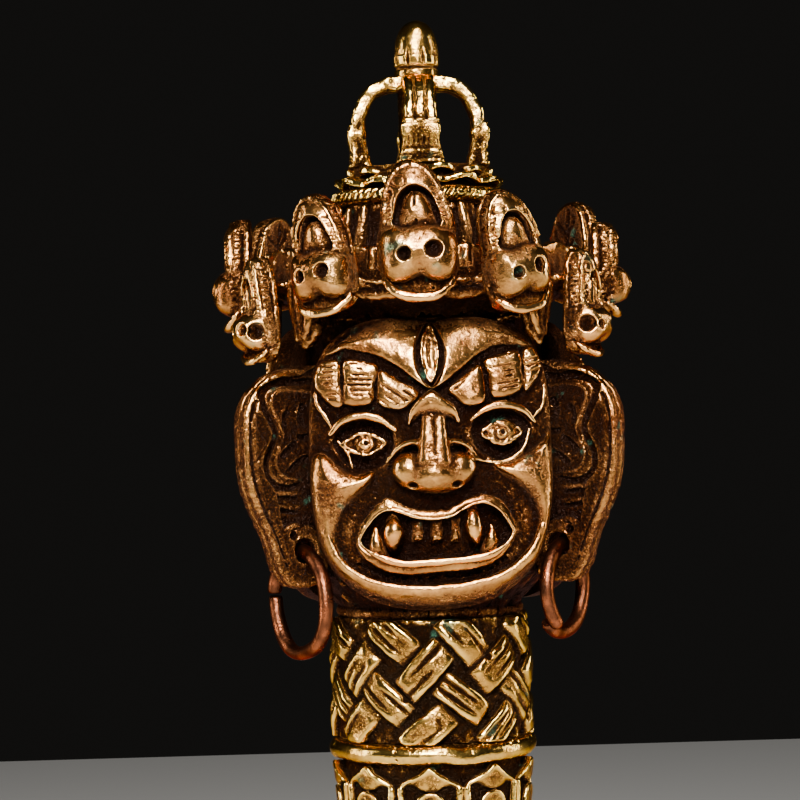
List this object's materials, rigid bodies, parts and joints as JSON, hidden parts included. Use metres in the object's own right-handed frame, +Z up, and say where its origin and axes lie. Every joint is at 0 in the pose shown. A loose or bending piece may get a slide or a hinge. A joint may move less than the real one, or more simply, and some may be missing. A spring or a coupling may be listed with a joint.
{
  "type": "vajra staff",
  "caption": "Ritual peg with a half-vajra finial, three wrathful faces under a crown of skulls, swinging ear hoops, a knotted lotus grip and a three-edged blade.",
  "frame": {"origin": "middle of the grip, on the staff's axis", "axes": "+Z up the staff from the blade to the finial, -Y out of the front face, +X to the right of the front face"},
  "size_m": [0.042, 0.0425, 0.213],
  "materials": {
    "rod_steel": "drawn round steel bar",
    "grip_brass": "lost-wax cast brass, dark in the hollows and hand rubbed on the high places",
    "finial_brass": "lost-wax cast brass, filed and rubbed bright",
    "head_copper": "lost-wax cast red copper alloy, dark brown in the hollows and rubbed on the high places",
    "wire_copper": "drawn copper wire, bent by hand and aged to a reddish brown",
    "blade_brass": "cast brass, filed to three edges and rubbed"
  },
  "bodies": {
    "staff": {"rod": "rod_steel", "grip_belly": "grip_brass", "bead_ring_upper": "grip_brass", "bead_ring_lower": "grip_brass", "lotus_upper": "grip_brass", "lotus_lower": "grip_brass", "rope_ring_upper": "grip_brass", "rope_ring_lower": "grip_brass", "knot_upper": "grip_brass", "knot_lower": "grip_brass", "head_core": "head_copper", "face_front": "head_copper", "face_right": "head_copper", "face_left": "head_copper", "ear_front_right_a": "head_copper", "ear_front_right_b": "head_copper", "ear_back_a": "head_copper", "ear_back_b": "head_copper", "ear_front_left_a": "head_copper", "ear_front_left_b": "head_copper", "crown_band": "head_copper", "skull_front_middle": "head_copper", "skull_front_right_side": "head_copper", "skull_over_right_ears": "head_copper", "skull_right_left_side": "head_copper", "skull_right_middle": "head_copper", "skull_right_right_side": "head_copper", "skull_over_back_ears": "head_copper", "skull_left_left_side": "head_copper", "skull_left_middle": "head_copper", "skull_left_right_side": "head_copper", "skull_over_left_ears": "head_copper", "skull_front_left_side": "head_copper", "topknot": "head_copper", "finial_rope": "finial_brass", "finial_disc": "finial_brass", "finial_post": "finial_brass", "prong_front": "finial_brass", "prong_right": "finial_brass", "prong_back": "finial_brass", "prong_left": "finial_brass", "beast_head": "head_copper", "blade": "blade_brass", "serpent_front": "blade_brass", "serpent_right": "blade_brass", "serpent_left": "blade_brass"},
    "hoop_right": {"earring_right": "wire_copper"},
    "hoop_back": {"earring_back": "wire_copper"},
    "hoop_left": {"earring_left": "wire_copper"}
  },
  "joints": [
    {"name": "hoop_right_swing", "type": "hinge", "parent": "staff", "child": "hoop_right", "pos_m": [0.0129, -0.00745, 0.0426], "axis": [-0.5, -0.866, 0], "range_deg": [-12, 105]},
    {"name": "hoop_back_swing", "type": "hinge", "parent": "staff", "child": "hoop_back", "pos_m": [0, 0.0149, 0.0426], "axis": [1, 0, 0], "range_deg": [-12, 105]},
    {"name": "hoop_left_swing", "type": "hinge", "parent": "staff", "child": "hoop_left", "pos_m": [-0.0129, -0.00745, 0.0426], "axis": [-0.5, 0.866, 0], "range_deg": [-12, 105]}
  ]
}
